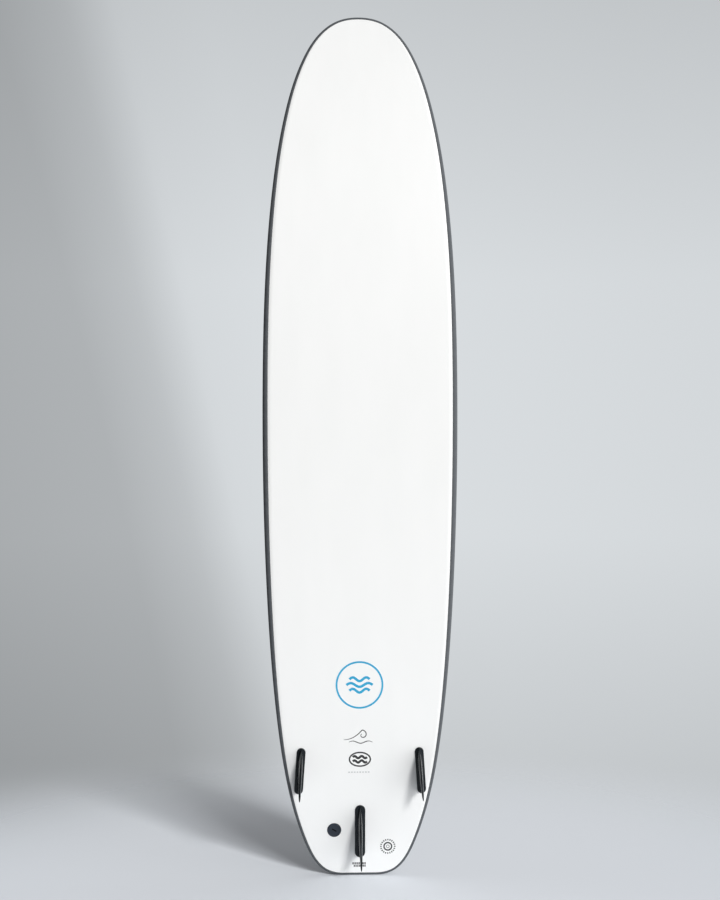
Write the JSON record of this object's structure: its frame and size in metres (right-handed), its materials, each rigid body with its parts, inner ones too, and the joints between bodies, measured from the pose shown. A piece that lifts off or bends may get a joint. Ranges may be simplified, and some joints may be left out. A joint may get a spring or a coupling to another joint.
{
  "type": "surfboard",
  "caption": "Soft-top longboard with rounded nose, squash tail, slick bottom, foam rails and deck, bolt-through fins and a through-board leash plug.",
  "frame": {"origin": "middle of the flat land at the tail that the upright board stands on", "axes": "+Z from tail to nose, -Y out of the bottom (the side with the fins), +Y out of the deck, +X to the rider's left (port)"},
  "size_m": [0.579, 0.246, 2.59],
  "materials": {
    "bottom_slick": "smooth white slick sheet with a faint satin sheen",
    "rail_foam": "charcoal closed-cell foam, matt, fine skin texture",
    "deck_foam": "charcoal closed-cell foam, matt, fine embossed texture",
    "backing_foam": "white closed-cell foam, matt",
    "laminate": "open glass mesh in resin",
    "core_foam": "expanded bead foam",
    "stringer_wood": "straight-grained laminated wood, unfinished",
    "fin_plastic": "black moulded plastic, satin",
    "cup_plastic": "black moulded plastic, matt",
    "leash_plastic": "dark slate moulded plastic, satin",
    "insert_brass": "turned brass",
    "screw_steel": "stainless steel"
  },
  "bodies": {
    "board": {"bottom_skin": "bottom_slick", "bottom_backing": "backing_foam", "bottom_mesh": "laminate", "deck_skin": "deck_foam", "deck_mesh": "laminate", "rail_band_port": "rail_foam", "rail_band_starboard": "rail_foam", "core_port_outer": "core_foam", "core_port_inner": "core_foam", "core_starboard_inner": "core_foam", "core_starboard_outer": "core_foam", "stringer_port": "stringer_wood", "stringer_centre": "stringer_wood", "stringer_starboard": "stringer_wood", "leash_cup": "leash_plastic", "leash_pin": "screw_steel", "leash_disc": "leash_plastic", "centre_fin_deck_cups": "cup_plastic", "port_fin_deck_cups": "cup_plastic", "starboard_fin_deck_cups": "cup_plastic"},
    "centre_fin": {"centre_fin": "fin_plastic", "centre_fin_inserts": "insert_brass"},
    "centre_screws": {"centre_fin_screws": "screw_steel"},
    "port_fin": {"port_fin": "fin_plastic", "port_fin_inserts": "insert_brass"},
    "port_screws": {"port_fin_screws": "screw_steel"},
    "starboard_fin": {"starboard_fin": "fin_plastic", "starboard_fin_inserts": "insert_brass"},
    "starboard_screws": {"starboard_fin_screws": "screw_steel"}
  },
  "joints": [
    {"name": "centre_fin_pull", "type": "slide", "parent": "board", "child": "centre_fin", "axis": [0, -0.9966, -0.0825], "range_m": [0, 0.06]},
    {"name": "centre_screws_out", "type": "slide", "parent": "board", "child": "centre_screws", "axis": [0, 0.9966, 0.0825], "range_m": [0, 0.06]},
    {"name": "port_fin_pull", "type": "slide", "parent": "board", "child": "port_fin", "axis": [0, -0.9983, -0.0579], "range_m": [0, 0.06]},
    {"name": "port_screws_out", "type": "slide", "parent": "board", "child": "port_screws", "axis": [0, 0.9983, 0.0579], "range_m": [0, 0.06]},
    {"name": "starboard_fin_pull", "type": "slide", "parent": "board", "child": "starboard_fin", "axis": [0, -0.9983, -0.0579], "range_m": [0, 0.06]},
    {"name": "starboard_screws_out", "type": "slide", "parent": "board", "child": "starboard_screws", "axis": [0, 0.9983, 0.0579], "range_m": [0, 0.06]}
  ]
}
